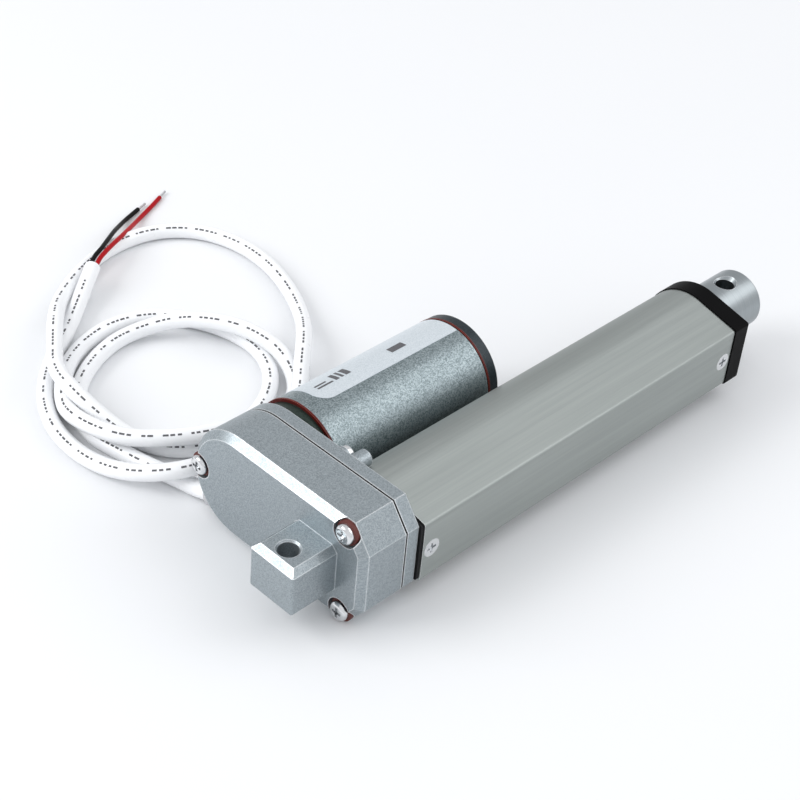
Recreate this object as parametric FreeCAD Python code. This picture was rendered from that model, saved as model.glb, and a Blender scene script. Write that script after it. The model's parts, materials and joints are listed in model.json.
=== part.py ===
import FreeCAD, Part
import math
import os

# Electric linear actuator: a die-cast gearbox with a rear clevis, a sleeved motor beside a
# D-shaped extruded tube, and a round rod driven out of the tube by a screw and nut.
# Millimetres. The origin is the centre of the rear clevis hole, +X is the way the rod
# extends, +Y points from the tube to the motor, and +Z is up along both pin holes.

# ---- whole object ----
PIN_HOLE_R = 3.1
HOLE_TO_HOLE = 194.0
STROKE = 100.0
MOTOR_Y = 33.75
IDLER_Y = 18.0

# ---- gearbox ----
BOX_X0 = 10.0
SEAM_X0 = 26.1
SEAM_X1 = 26.7
BOX_X1 = 31.4
BOX_HALF_H = 18.0
BOX_SIDE = 18.3
CORNER_Y = 6.1
CORNER_Z = 8.0
REAR_BEVEL = 2.2
BOX_WALL = 2.5
FRONT_BEVEL = 0.5
CAVITY_X0 = 12.5
CAVITY_X1 = 28.6
SCREW_CORNER_Y = -10.6
SCREW_CORNER_Z = 14.1
SCREW_END_Y = 48.4
SCREW_BOSS_R = 3.0
POCKET_BOSS_R = 4.9
IDLER_BOSS_R = 3.5
POCKET_R = 4.2
POCKET_X1 = 12.2
WASHER_T = 1.2
WASHER_R = 3.75
COVER_SCREW_X1 = 30.0
HUB_HOLE_R = 6.0
MOTOR_HOLE_R = 5.2
SHAFT_R = 1.5
IDLER_SHAFT_X0 = 11.2
IDLER_SHAFT_X1 = 30.4
IDLER_BOSS_H = 1.2

# ---- small lug, its screw, and the dowel on the front plate ----
LUG_Y = 13.2
LUG_Z = 13.9
LUG_R = 2.9
LUG_X1 = 33.0
PLATE_SCREW_R = 1.2
PLATE_HEAD_R = 2.7
PLATE_HEAD_H = 2.0
DOWEL_Y = 8.0
DOWEL_Z = 14.9
DOWEL_R = 2.6
DOWEL_X1 = 36.6
DOWEL_CHAMFER = 0.6

# ---- rear clevis block ----
CLEVIS_X0 = -6.0
CLEVIS_HALF_W = 8.4
CLEVIS_HALF_H = 7.7
CLEVIS_BEVEL = 1.9
CLEVIS_CORNER_R = 0.7
MOUTH = 0.5

# ---- screws ----
M3_R = 1.5
M3_CLEAR_R = 1.7
M3_TAPPED_R = 1.52
PAN_R = 3.05
PAN_H = 2.0
RECESS_HALF_W = 0.45
RECESS_SHARE = 0.6
CSK_R = 2.9
CSK_H = 1.5

# ---- tube ----
TUBE_X0 = 32.4
TUBE_X1 = 173.5
TUBE_FLAT_Y = -19.3
TUBE_FLAT_HALF = 10.25
TUBE_ROUND_R = 14.36
TUBE_ROUND_Y = -0.4
TUBE_BORE_R = 12.5
CHANNEL_Y = -17.5
CHANNEL_HALF = 8.5
TUBE_EDGE_R = 0.8
TUBE_SCREW_X0 = 36.1
TUBE_SCREW_X1 = 169.7
CAP_X1 = 180.65
CAP_OVER = 0.35
CAP_EDGE_R = 0.8

# ---- spigots that locate the tube ----
SPIGOT_R = 12.4
REAR_SPIGOT_X1 = 41.0
FRONT_SPIGOT_X0 = 166.6
CHANNEL_FIT = 0.3
SEAM_INSET = 0.2

# ---- screw, bearing and nut ----
SCREW_R = 4.0
SCREW_X0 = 13.2
SCREW_CHAMFER = 0.6
SCREW_X1 = 168.0
BEARING_R = 9.5
BEARING_X0 = 31.0
BEARING_X1 = 37.0
HUB_R = 5.9
INNER_RACE_R = 5.9
OUTER_RACE_R = 7.9
BALL_R = 1.45
BALL_CIRCLE_R = 6.9
BALL_COUNT = 9
CIRCLIP_T = 1.2
GEAR_PIN_R = 1.0
GEAR_PIN_X = 25.0
RUNNING = 0.05
NUT_X0 = 46.0
NUT_X1 = 62.0
NUT_R = 12.2
NECK_X1 = 76.0
NECK_R = 7.98
KEY_X0 = 48.0
KEY_X1 = 60.0
KEY_Y = -15.5
KEY_Z0 = -6.5
KEY_Z1 = -1.5

# ---- limit switches and their board, in the tube's side channel ----
SWITCH_Y0 = -16.2
SWITCH_Y1 = -12.8
SWITCH_Z0 = -7.0
SWITCH_Z1 = -1.0
SWITCH_LENGTH = 6.3
SWITCH_GAP = 0.2
PLUNGER_OUT = 0.6
BOARD_HALF_W = 7.8
DIODE_R = 0.8
LEAD_R = 0.6
LEAD_Z = (3.4, 5.6)

# ---- rod ----
ROD_R = 10.0
ROD_EDGE_R = 0.7
ROD_BORE_R = 8.0
ROD_SEAM_X = 183.1
ROD_X1 = 203.1
BUSH_R = 11.3
SEAL_X0 = 177.2
SEAL_R = 12.0
ROD_PIN_R = 1.5
ROD_PIN_X = 69.0
ROD_PIN_Z0 = 5.0
ROD_PIN_Z1 = 9.85
FLARE_Z = 8.9

# ---- gears ----
MODULE = 0.75
PRESSURE = math.radians(25)
SMALL_TEETH = 12
IDLER_TEETH = 30
OUTPUT_TEETH = 36
ADDENDUM = 0.6
DEDENDUM = 0.75
BACKLASH = 0.12
SLOW_X0 = 14.2
SLOW_X1 = 21.0
FAST_X0 = 22.2
FAST_X1 = 26.0

# ---- motor ----
SLEEVE_R = 17.2
SLEEVE_X0 = 36.1
SLEEVE_X1 = 98.0
SLEEVE_BORE_R = 15.8
SLEEVE_CHAMFER = 0.3
STEP_IN = 1.2
GASKET_T = 0.6
END_CAP_X1 = 102.55
END_DISH_R = 12.5
END_DISH_T = 0.5
CAN_R = 15.5
CAN_X0 = 36.6
CAN_X1 = 92.5
CAN_WALL = 1.5
MOTOR_BUSH_R = 4.0
FLANGE_R = 16.4
MAGNET_R = 11.5
MOTOR_SHAFT_R = 1.585
CORE_R = 10.9
CORE_X0 = 50.0
CORE_X1 = 78.0
WINDING_R = 9.6
WINDING_OUT = 3.5
SLOTS = 5
BRUSH_PLATE_X1 = 95.8
COMMUTATOR_X0 = 82.0
COMMUTATOR_X1 = 90.0
COMMUTATOR_R = 4.0
BRUSH_X0 = 83.5
BRUSH_X1 = 88.5
BRUSH_HALF = 2.0
LABEL_X0 = 41.5
LABEL_X1 = 97.4
LABEL_TOP = 97.5
LABEL_SWEEP = 205.0
LABEL_T = 0.1
LABEL_CORNER_R = 5.0

# ---- cable: its route lies on the floor and crosses over itself in low humps ----
FLOOR_Z = -BOX_HALF_H
CABLE_R = 2.7
CABLE_LAY_Z = FLOOR_Z + CABLE_R + 0.05
GROMMET_R = 3.6
GROMMET_T1 = 8.6
COLLAR_T0 = 0.6
COLLAR_T1 = 1.9
COLLAR_OVER = 0.4
WIRE_R = 0.8
TIP_R = 0.45
TIP_LENGTH = 4.5
BEND_SHARE = 0.45
# x, y, and height of the centreline above its height when it lies on the floor
CABLE_ROUTE = [
    (15.0, 40.3, 5.5),
    (15.0, 52.0, 0.0),
    (12.7, 62.5, 0.0),
    (9.6, 73.0, 0.0),
    (7.6, 83.0, 0.0),
    (5.8, 93.2, 0.0),
    (8.6, 103.5, 0.0),
    (16.0, 114.0, 0.0),
    (27.0, 122.0, 0.0),
    (40.0, 127.0, 0.0),
    (51.5, 126.2, 0.8),
    (61.0, 119.0, 4.4),
    (67.8, 108.5, 6.4),
    (72.8, 97.8, 6.6),
    (75.6, 86.0, 4.2),
    (72.8, 75.4, 0.8),
    (65.4, 67.3, 0.2),
    (55.0, 64.0, 2.0),
    (43.0, 62.6, 5.6),
    (30.5, 65.0, 6.2),
    (18.5, 71.5, 6.2),
    (8.8, 79.5, 6.2),
    (4.4, 89.5, 6.0),
    (3.8, 100.5, 4.6),
    (6.6, 108.8, 3.2),
    (16.0, 121.1, 2.4),
    (30.0, 131.5, 0.0),
    (45.0, 135.2, 0.0),
    (59.5, 131.0, 0.0),
    (69.0, 119.5, 0.0),
    (74.0, 106.0, 0.0),
    (74.0, 92.4, 0.0),
    (67.4, 80.0, 0.0),
    (56.5, 71.5, 0.0),
    (43.0, 67.5, 0.0),
    (29.2, 66.5, 0.0),
    (18.9, 73.5, 0.0),
    (14.3, 84.8, 0.0),
    (11.2, 94.0, 3.2),
    (8.8, 106.0, 8.3),
    (10.4, 117.2, 8.8),
    (19.5, 130.0, 6.4),
    (29.0, 142.5, 6.0),
    (41.0, 156.0, 1.0),
    (57.0, 166.0, 0.0),
    (74.0, 171.5, 0.0),
    (91.0, 170.5, 0.0),
    (104.0, 161.5, 0.0),
    (110.0, 146.5, 0.0),
    (110.0, 130.5, 0.0),
    (105.5, 114.5, 0.0),
    (97.5, 99.0, 0.5),
    (86.0, 85.5, 5.5),
    (74.5, 74.5, 6.4),
    (60.5, 60.5, 5.5),
    (48.0, 54.8, 1.0),
    (36.0, 54.2, 1.0),
    (24.5, 54.9, 5.8),
    (11.0, 57.8, 6.3),
    (2.4, 69.4, 2.4),
    (-1.5, 82.0, 0.0),
    (-2.3, 95.0, 0.0),
    (0.5, 107.5, 0.0),
    (7.5, 120.0, 0.0),
    (19.0, 131.5, 0.0),
    (32.3, 140.6, 0.0),
    (43.6, 149.8, 0.8),
    (51.3, 155.4, 3.2),
    (57.6, 160.1, 4.4),
]
BLACK_ROUTE = [
    (57.0, 160.9, 4.4),
    (60.9, 163.8, 5.1),
    (66.0, 166.3, 5.0),
    (72.2, 170.6, 4.0),
    (78.4, 175.3, 2.4),
    (84.8, 180.4, -0.3),
    (91.8, 184.6, -1.9),
    (98.4, 186.8, -1.9),
]
RED_ROUTE = [
    (58.2, 159.3, 4.4),
    (61.6, 161.8, 5.0),
    (66.0, 163.9, 5.1),
    (71.0, 166.5, 4.6),
    (76.8, 169.6, 3.6),
    (84.4, 174.5, 1.4),
    (91.8, 179.7, -1.1),
    (98.8, 183.4, -1.9),
    (104.4, 185.8, -1.9),
    (109.6, 188.3, -1.9),
]


def vec(x, y, z):
    return FreeCAD.Vector(x, y, z)


def rod_along_x(r, x0, x1, y=0.0, z=0.0):
    return Part.makeCylinder(r, x1 - x0, vec(x0, y, z), vec(1, 0, 0))


def rod_along_z(r, x, y, z0, z1):
    return Part.makeCylinder(r, z1 - z0, vec(x, y, z0), vec(0, 0, 1))


def ring_along_x(outer, inner, x0, x1, y=0.0, z=0.0):
    return rod_along_x(outer, x0, x1, y, z).cut(rod_along_x(inner, x0, x1, y, z))


def block(x0, x1, y0, y1, z0, z1):
    return Part.makeBox(x1 - x0, y1 - y0, z1 - z0, vec(x0, y0, z0))


def fuse_all(shapes):
    whole = shapes[0]
    for shape in shapes[1:]:
        whole = whole.fuse(shape)
    return whole.removeSplitter()


def cut_all(shape, tools):
    for tool in tools:
        shape = shape.cut(tool)
    return shape


def edges_at_x(shape, x):
    """The edges that lie wholly in the plane at x."""
    return [e for e in shape.Edges if all(abs(v.X - x) < 1e-6 for v in e.Vertexes)]


def edges_at_z(shape, z):
    return [e for e in shape.Edges if all(abs(v.Z - z) < 1e-6 for v in e.Vertexes)]


def edges_along(shape, direction, test):
    """The straight edges parallel to direction whose middle passes the test."""
    found = []
    for edge in shape.Edges:
        if not isinstance(edge.Curve, Part.Line):
            continue
        if abs(abs(edge.Curve.Direction.dot(direction)) - 1) > 1e-6:
            continue
        if test(edge.CenterOfMass):
            found.append(edge)
    return found


# ---------------------------------------------------------------- gearbox

def gearbox_prism(x0, x1, inset=0.0):
    """The gearbox outline, square-cornered at the tube end and round at the motor end."""
    h = BOX_HALF_H
    corners = [
        vec(x0, MOTOR_Y, h),
        vec(x0, CORNER_Y - BOX_SIDE, h),
        vec(x0, -BOX_SIDE, h - CORNER_Z),
        vec(x0, -BOX_SIDE, CORNER_Z - h),
        vec(x0, CORNER_Y - BOX_SIDE, -h),
        vec(x0, MOTOR_Y, -h),
    ]
    edges = [Part.makeLine(a, b) for a, b in zip(corners, corners[1:])]
    edges.append(Part.Arc(corners[-1], vec(x0, MOTOR_Y + h, 0), corners[0]).toShape())
    face = Part.Face(Part.Wire(edges))
    if inset:
        face = face.makeOffset2D(-inset, 2)
    return face.extrude(vec(x1 - x0, 0, 0))


def cover_screw_places():
    return [
        (SCREW_CORNER_Y, SCREW_CORNER_Z),
        (SCREW_CORNER_Y, -SCREW_CORNER_Z),
        (SCREW_END_Y, 0.0),
    ]


def clevis_block():
    """The rear mounting lug, bevelled round its top and rounded elsewhere."""
    w, h = CLEVIS_HALF_W, CLEVIS_HALF_H
    lug = block(CLEVIS_X0, BOX_X0 + 1, -w, w, -h, h)
    lug = lug.makeChamfer(CLEVIS_BEVEL, [e for e in edges_at_z(lug, h) if e.CenterOfMass.x < BOX_X0])
    upright = edges_along(lug, vec(0, 0, 1), lambda c: c.x < BOX_X0)
    lug = lug.makeFillet(CLEVIS_CORNER_R, upright)
    return lug.makeFillet(CLEVIS_CORNER_R, [e for e in edges_at_z(lug, -h) if e.CenterOfMass.x < BOX_X0])


def pin_hole(x, half_height):
    """A vertical hole with a small chamfer at each mouth."""
    top = Part.makeCone(PIN_HOLE_R, PIN_HOLE_R + 1.0, 1.0, vec(x, 0, half_height - MOUTH))
    bottom = Part.makeCone(PIN_HOLE_R + 1.0, PIN_HOLE_R, 1.0, vec(x, 0, MOUTH - half_height - 1.0))
    return [rod_along_z(PIN_HOLE_R, x, 0, -half_height, half_height), top, bottom]


def cable_exit():
    """The point where the cable starts, and the way it leaves through the wall."""
    points = cable_points(CABLE_ROUTE[:2])
    return points[0], (points[1] - points[0]).normalize()


def along_exit(r, start, stop):
    point, way = cable_exit()
    return Part.makeCylinder(r, stop - start, point + way * start, way)


def rear_cover():
    shell = gearbox_prism(BOX_X0, SEAM_X0)
    shell = shell.makeChamfer(REAR_BEVEL, edges_at_x(shell, BOX_X0))
    shell = shell.fuse(clevis_block()).removeSplitter()
    cavity = gearbox_prism(CAVITY_X0, SEAM_X0, BOX_WALL)
    cavity = cavity.cut(rod_along_x(IDLER_BOSS_R, CAVITY_X0, CAVITY_X0 + IDLER_BOSS_H, IDLER_Y))
    tools = [rod_along_x(SHAFT_R, IDLER_SHAFT_X0, SLOW_X0, IDLER_Y)]
    for y, z in cover_screw_places():
        cavity = cavity.cut(rod_along_x(SCREW_BOSS_R, CAVITY_X0, SEAM_X0, y, z))
        cavity = cavity.cut(rod_along_x(POCKET_BOSS_R, CAVITY_X0, SLOW_X0 - 0.4, y, z))
        tools.append(rod_along_x(POCKET_R, BOX_X0 - 1, POCKET_X1, y, z))
        tools.append(rod_along_x(M3_CLEAR_R, POCKET_X1, SEAM_X0, y, z))
    tools.append(along_exit(GROMMET_R, 0.0, 12.0))
    tools.append(along_exit(GROMMET_R + COLLAR_OVER, -1.0, COLLAR_T1))
    return cut_all(shell, [cavity] + tools + pin_hole(0.0, CLEVIS_HALF_H))


def housing_gasket():
    ring = gearbox_prism(SEAM_X0, SEAM_X1, SEAM_INSET).cut(gearbox_prism(SEAM_X0, SEAM_X1, BOX_WALL))
    room = gearbox_prism(SEAM_X0, SEAM_X1, SEAM_INSET)
    for y, z in cover_screw_places():
        ring = ring.fuse(rod_along_x(SCREW_BOSS_R, SEAM_X0, SEAM_X1, y, z).common(room))
    holes = [rod_along_x(M3_CLEAR_R, SEAM_X0, SEAM_X1, y, z) for y, z in cover_screw_places()]
    return cut_all(ring.removeSplitter(), holes)


def spigot(x0, x1):
    """The stub that a tube end slides over, with a lug that fills the tube's side channel."""
    lug = block(x0, x1, CHANNEL_Y + 0.2, -9, CHANNEL_FIT - CHANNEL_HALF, CHANNEL_HALF - CHANNEL_FIT)
    return rod_along_x(SPIGOT_R, x0, x1).fuse(lug)


def side_screw_hole(r, x, y0, y1):
    return Part.makeCylinder(r, y1 - y0, vec(x, y0, 0), vec(0, 1, 0))


def motor_screw_places():
    return [(MOTOR_Y, 8.0), (MOTOR_Y, -8.0)]


def front_plate():
    plate = gearbox_prism(SEAM_X1, BOX_X1)
    plate = plate.makeChamfer(FRONT_BEVEL, edges_at_x(plate, BOX_X1))
    cavity = gearbox_prism(SEAM_X1, CAVITY_X1, BOX_WALL)
    cavity = cavity.cut(rod_along_x(IDLER_BOSS_R, CAVITY_X1 - IDLER_BOSS_H, CAVITY_X1, IDLER_Y))
    tools = [
        rod_along_x(SHAFT_R, CAVITY_X1 - IDLER_BOSS_H, IDLER_SHAFT_X1, IDLER_Y),
        rod_along_x(HUB_HOLE_R, CAVITY_X1, BEARING_X0),
        rod_along_x(BEARING_R, BEARING_X0, REAR_SPIGOT_X1),
        rod_along_x(MOTOR_HOLE_R, CAVITY_X1, BOX_X1, MOTOR_Y),
        rod_along_x(PLATE_SCREW_R, BOX_X1 - 1.4, LUG_X1, LUG_Y, LUG_Z),
        side_screw_hole(M3_TAPPED_R, TUBE_SCREW_X0, CHANNEL_Y, -SPIGOT_R + 1),
    ]
    for y, z in cover_screw_places():
        cavity = cavity.cut(rod_along_x(SCREW_BOSS_R, SEAM_X1, CAVITY_X1, y, z))
        tools.append(rod_along_x(M3_TAPPED_R, SEAM_X1, COVER_SCREW_X1 + 0.2, y, z))
    for y, z in motor_screw_places():
        tools.append(rod_along_x(M3_CLEAR_R, CAVITY_X1, BOX_X1, y, z))
    lug = rod_along_x(LUG_R, BOX_X1 - 1, LUG_X1, LUG_Y, LUG_Z)
    dowel = rod_along_x(DOWEL_R, BOX_X1 - 1, DOWEL_X1, DOWEL_Y, DOWEL_Z)
    dowel = dowel.makeChamfer(DOWEL_CHAMFER, edges_at_x(dowel, DOWEL_X1))
    whole = fuse_all([plate.cut(cavity), spigot(BOX_X1 - 1, REAR_SPIGOT_X1), lug, dowel])
    return cut_all(whole, tools)


# ---------------------------------------------------------------- screws

def cross_recess(size, depth):
    """A cross-shaped driver recess that opens at x = 0 and runs to x = depth."""
    across = block(0, depth, -size, size, -RECESS_HALF_W, RECESS_HALF_W)
    upright = block(0, depth, -RECESS_HALF_W, RECESS_HALF_W, -size, size)
    return across.fuse(upright)


def pan_screw(head_r, head_h, shank_r, length):
    """A cross-recess pan screw: head from x = 0 to head_h, shank beyond it along +X."""
    head = rod_along_x(head_r, 0, head_h)
    head = head.makeFillet(head_h * RECESS_SHARE, edges_at_x(head, 0))
    head = head.cut(cross_recess(head_r * 0.55, head_h * RECESS_SHARE))
    return head.fuse(rod_along_x(shank_r, head_h, head_h + length)).removeSplitter()


def countersunk_screw(length):
    """A cross-recess countersunk screw: its flat top at x = 0, its shank along +X."""
    head = Part.makeCone(CSK_R, M3_R, CSK_H, vec(0, 0, 0), vec(1, 0, 0))
    head = head.cut(cross_recess(CSK_R * RECESS_SHARE, CSK_H * RECESS_SHARE))
    return head.fuse(rod_along_x(M3_R, CSK_H, CSK_H + length)).removeSplitter()


def cover_screws():
    x0 = POCKET_X1 - WASHER_T - PAN_H
    screws = []
    for y, z in cover_screw_places():
        screw = pan_screw(PAN_R, PAN_H, M3_R, COVER_SCREW_X1 - x0 - PAN_H)
        screws.append(screw.translate(vec(x0, y, z)))
    return Part.makeCompound(screws)


def cover_washers():
    rings = [ring_along_x(WASHER_R, M3_R + 0.05, POCKET_X1 - WASHER_T, POCKET_X1, y, z)
             for y, z in cover_screw_places()]
    return Part.makeCompound(rings)


def tube_screws():
    screws = []
    for x in (TUBE_SCREW_X0, TUBE_SCREW_X1):
        screw = countersunk_screw(5.0)
        screw.rotate(vec(0, 0, 0), vec(0, 0, 1), 90)
        screws.append(screw.translate(vec(x, TUBE_FLAT_Y, 0)))
    return Part.makeCompound(screws)


def motor_screws():
    screws = []
    for y, z in motor_screw_places():
        screw = pan_screw(2.6, 1.6, M3_R, CAN_X0 + 1.4 - CAVITY_X1)
        screws.append(screw.translate(vec(CAVITY_X1 - 1.6, y, z)))
    return Part.makeCompound(screws)


def plate_screw():
    """The small screw on the front plate's lug, driven from the motor side."""
    screw = pan_screw(PLATE_HEAD_R, PLATE_HEAD_H, PLATE_SCREW_R, LUG_X1 - BOX_X1 + 1.2)
    screw.rotate(vec(0, 0, 0), vec(0, 0, 1), 180)
    return screw.translate(vec(LUG_X1 + PLATE_HEAD_H, LUG_Y, LUG_Z))


# ---------------------------------------------------------------- tube and front cap

def tube_prism(x0, x1, grow=0.0):
    """The outer D: one flat side, two slanted sides, and a round back tangent to them."""
    flat_y = TUBE_FLAT_Y - grow
    half = TUBE_FLAT_HALF + grow
    r = TUBE_ROUND_R + grow
    reach = math.hypot(flat_y - TUBE_ROUND_Y, half)
    start = math.atan2(half, flat_y - TUBE_ROUND_Y) - math.acos(r / reach)
    ty, tz = TUBE_ROUND_Y + r * math.cos(start), r * math.sin(start)
    top, bottom = vec(x0, ty, tz), vec(x0, ty, -tz)
    edges = [
        Part.makeLine(vec(x0, flat_y, -half), vec(x0, flat_y, half)),
        Part.makeLine(vec(x0, flat_y, half), top),
        Part.Arc(top, vec(x0, TUBE_ROUND_Y + r, 0), bottom).toShape(),
        Part.makeLine(bottom, vec(x0, flat_y, -half)),
    ]
    solid = Part.Face(Part.Wire(edges)).extrude(vec(x1 - x0, 0, 0))
    corners = edges_along(solid, vec(1, 0, 0), lambda c: c.y < flat_y + 0.1)
    return solid.makeFillet(TUBE_EDGE_R, corners)


def tube_hollow(x0, x1):
    channel = block(x0, x1, CHANNEL_Y, 0, -CHANNEL_HALF, CHANNEL_HALF)
    return rod_along_x(TUBE_BORE_R, x0, x1).fuse(channel)


def outer_tube():
    tube = tube_prism(TUBE_X0, TUBE_X1).cut(tube_hollow(TUBE_X0, TUBE_X1))
    for x in (TUBE_SCREW_X0, TUBE_SCREW_X1):
        seat = Part.makeCone(CSK_R + 0.05, M3_R + 0.05, CSK_H, vec(x, TUBE_FLAT_Y, 0), vec(0, 1, 0))
        tube = tube.cut(seat).cut(side_screw_hole(M3_CLEAR_R, x, TUBE_FLAT_Y, CHANNEL_Y))
    return tube


def tube_gasket():
    return tube_prism(BOX_X1, TUBE_X0, -0.4).cut(tube_hollow(BOX_X1, TUBE_X0))


def front_cap():
    cap = tube_prism(TUBE_X1, CAP_X1, CAP_OVER)
    cap = cap.makeFillet(CAP_EDGE_R, edges_at_x(cap, CAP_X1))
    cap = cap.fuse(spigot(FRONT_SPIGOT_X0, TUBE_X1)).removeSplitter()
    return cut_all(cap, [
        rod_along_x(BUSH_R, FRONT_SPIGOT_X0, SEAL_X0),
        rod_along_x(SEAL_R, SEAL_X0, CAP_X1),
        side_screw_hole(M3_TAPPED_R, TUBE_SCREW_X1, CHANNEL_Y, 1 - SPIGOT_R),
    ])


def rod_seal():
    """A wiper ring: a flat body with a bevelled lip that runs on the rod."""
    body = ring_along_x(SEAL_R, ROD_R + RUNNING, SEAL_X0, CAP_X1 - 0.4)
    groove = Part.makeCone(ROD_R + 0.6, SEAL_R - 0.4, 0.8, vec(CAP_X1 - 1.2, 0, 0), vec(1, 0, 0))
    core = rod_along_x(ROD_R + 0.6, CAP_X1 - 1.2, CAP_X1 - 0.4)
    return body.cut(groove.cut(core))


# ---------------------------------------------------------------- gears

def involute_point(base_r, r, turn):
    """A point of the involute of base_r at radius r, in the plane x = 0, turned by turn."""
    roll = math.sqrt(max((r / base_r) ** 2 - 1, 0.0))
    angle = turn + roll - math.atan(roll)
    return vec(0, r * math.cos(angle), r * math.sin(angle))


def at_angle(r, angle):
    return vec(0, r * math.cos(angle), r * math.sin(angle))


def gear(teeth, x0, x1, bore_r, y, phase=0.0):
    """A spur gear about the line (y, 0), with the middle of a tooth at angle phase."""
    pitch_r = MODULE * teeth / 2
    base_r = pitch_r * math.cos(PRESSURE)
    root_r, tip_r = pitch_r - DEDENDUM, pitch_r + ADDENDUM
    foot_r = max(root_r, base_r)
    spread = math.tan(PRESSURE) - PRESSURE
    half = math.pi / (2 * teeth) - BACKLASH / (4 * pitch_r) + spread
    radii = [foot_r + (tip_r - foot_r) * share for share in (0, 0.25, 0.6, 1)]
    edges = []
    for tooth in range(teeth):
        middle = phase + 2 * math.pi * tooth / teeth
        rise = [involute_point(base_r, r, middle - half) for r in radii]
        fall = [vec(0, *mirrored(p, middle)) for p in reversed(rise)]
        flanks = []
        for points in (rise, fall):
            curve = Part.BSplineCurve()
            curve.interpolate(points)
            flanks.append(curve.toShape())
        foot = math.atan2(rise[0].z, rise[0].y)
        next_foot = foot + 2 * math.pi / teeth
        last = math.atan2(fall[-1].z, fall[-1].y)
        gap_middle = middle + math.pi / teeth
        if foot_r > root_r:
            edges.append(Part.makeLine(at_angle(root_r, foot), rise[0]))
        edges += [flanks[0], Part.Arc(rise[-1], at_angle(tip_r, middle), fall[0]).toShape(), flanks[1]]
        if foot_r > root_r:
            edges.append(Part.makeLine(fall[-1], at_angle(root_r, last)))
        edges.append(Part.Arc(at_angle(root_r, last), at_angle(root_r, gap_middle),
                              at_angle(root_r, next_foot)).toShape())
    wire = Part.Wire(Part.__sortEdges__(edges))
    blank = Part.Face(wire).extrude(vec(x1 - x0, 0, 0)).translate(vec(x0, y, 0))
    return blank.cut(rod_along_x(bore_r, x0, x1, y))


def mirrored(point, angle):
    """The y and z of a point mirrored in the line through the origin at angle."""
    c, s = math.cos(2 * angle), math.sin(2 * angle)
    return c * point.y + s * point.z, s * point.y - c * point.z


def output_gear():
    wheel = gear(OUTPUT_TEETH, SLOW_X0, SLOW_X1, SCREW_R, 0.0, math.pi / OUTPUT_TEETH)
    hub = ring_along_x(HUB_R, SCREW_R, SLOW_X1, BEARING_X0)
    return wheel.fuse(hub).removeSplitter().cut(gear_pin_rod())


def idler_pinion():
    return gear(SMALL_TEETH, SLOW_X0, FAST_X0, SHAFT_R + RUNNING, IDLER_Y)


def idler_wheel():
    return gear(IDLER_TEETH, FAST_X0, FAST_X1, SHAFT_R + RUNNING, IDLER_Y)


def motor_pinion():
    return gear(SMALL_TEETH, FAST_X0 - 0.7, FAST_X1 + 1.0, MOTOR_SHAFT_R, MOTOR_Y, math.pi / SMALL_TEETH)


def idler_shaft():
    return rod_along_x(SHAFT_R, IDLER_SHAFT_X0, IDLER_SHAFT_X1, IDLER_Y)


# ---------------------------------------------------------------- screw, bearing and nut

def gear_pin_rod():
    return rod_along_z(GEAR_PIN_R, GEAR_PIN_X, 0, 0.1 - HUB_R, HUB_R - 0.1)


def lead_screw():
    screw = rod_along_x(SCREW_R, SCREW_X0, SCREW_X1)
    screw = screw.makeChamfer(SCREW_CHAMFER, edges_at_x(screw, SCREW_X0) + edges_at_x(screw, SCREW_X1))
    return screw.cut(gear_pin_rod())


def screw_collar():
    return ring_along_x(HUB_R, SCREW_R, BEARING_X1 + 0.2, BEARING_X1 + 3.2)


def ball_track():
    middle = (BEARING_X0 + BEARING_X1) / 2
    return Part.makeTorus(BALL_CIRCLE_R, BALL_R + 0.05, vec(middle, 0, 0), vec(1, 0, 0))


def bearing_inner_race():
    return ring_along_x(INNER_RACE_R, SCREW_R, BEARING_X0, BEARING_X1).cut(ball_track())


def bearing_outer_race():
    return ring_along_x(BEARING_R, OUTER_RACE_R, BEARING_X0, BEARING_X1).cut(ball_track())


def bearing_balls():
    middle = (BEARING_X0 + BEARING_X1) / 2
    balls = []
    for number in range(BALL_COUNT):
        place = at_angle(BALL_CIRCLE_R, 2 * math.pi * number / BALL_COUNT)
        balls.append(Part.makeSphere(BALL_R, place + vec(middle, 0, 0)))
    return Part.makeCompound(balls)


def bearing_circlip():
    ring = ring_along_x(BEARING_R, OUTER_RACE_R - 0.2, BEARING_X1, BEARING_X1 + CIRCLIP_T)
    return ring.cut(block(BEARING_X1, BEARING_X1 + CIRCLIP_T, -1.5, 1.5, 0, BEARING_R + 1))


def rod_pin_pair(reach):
    """Two short pins through the rod into the nut's neck, above and below the screw."""
    up = rod_along_z(ROD_PIN_R, ROD_PIN_X, 0, ROD_PIN_Z0, reach)
    down = rod_along_z(ROD_PIN_R, ROD_PIN_X, 0, -reach, -ROD_PIN_Z0)
    return [up, down]


def rod_pins():
    return Part.makeCompound(rod_pin_pair(ROD_PIN_Z1))


def drive_nut():
    flange = rod_along_x(NUT_R, NUT_X0, NUT_X1)
    flange = flange.makeChamfer(0.8, edges_at_x(flange, NUT_X0) + edges_at_x(flange, NUT_X1))
    neck = rod_along_x(NECK_R, NUT_X1, NECK_X1)
    key = block(KEY_X0, KEY_X1, KEY_Y, 0.7 - NUT_R, KEY_Z0, KEY_Z1)
    nut = fuse_all([flange, neck, key])
    return cut_all(nut, [rod_along_x(SCREW_R + RUNNING, NUT_X0, NECK_X1)] + rod_pin_pair(ROD_R))


def rod_tube():
    return cut_all(ring_along_x(ROD_R, ROD_BORE_R, NUT_X1, ROD_SEAM_X), rod_pin_pair(ROD_R + 1))


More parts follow.
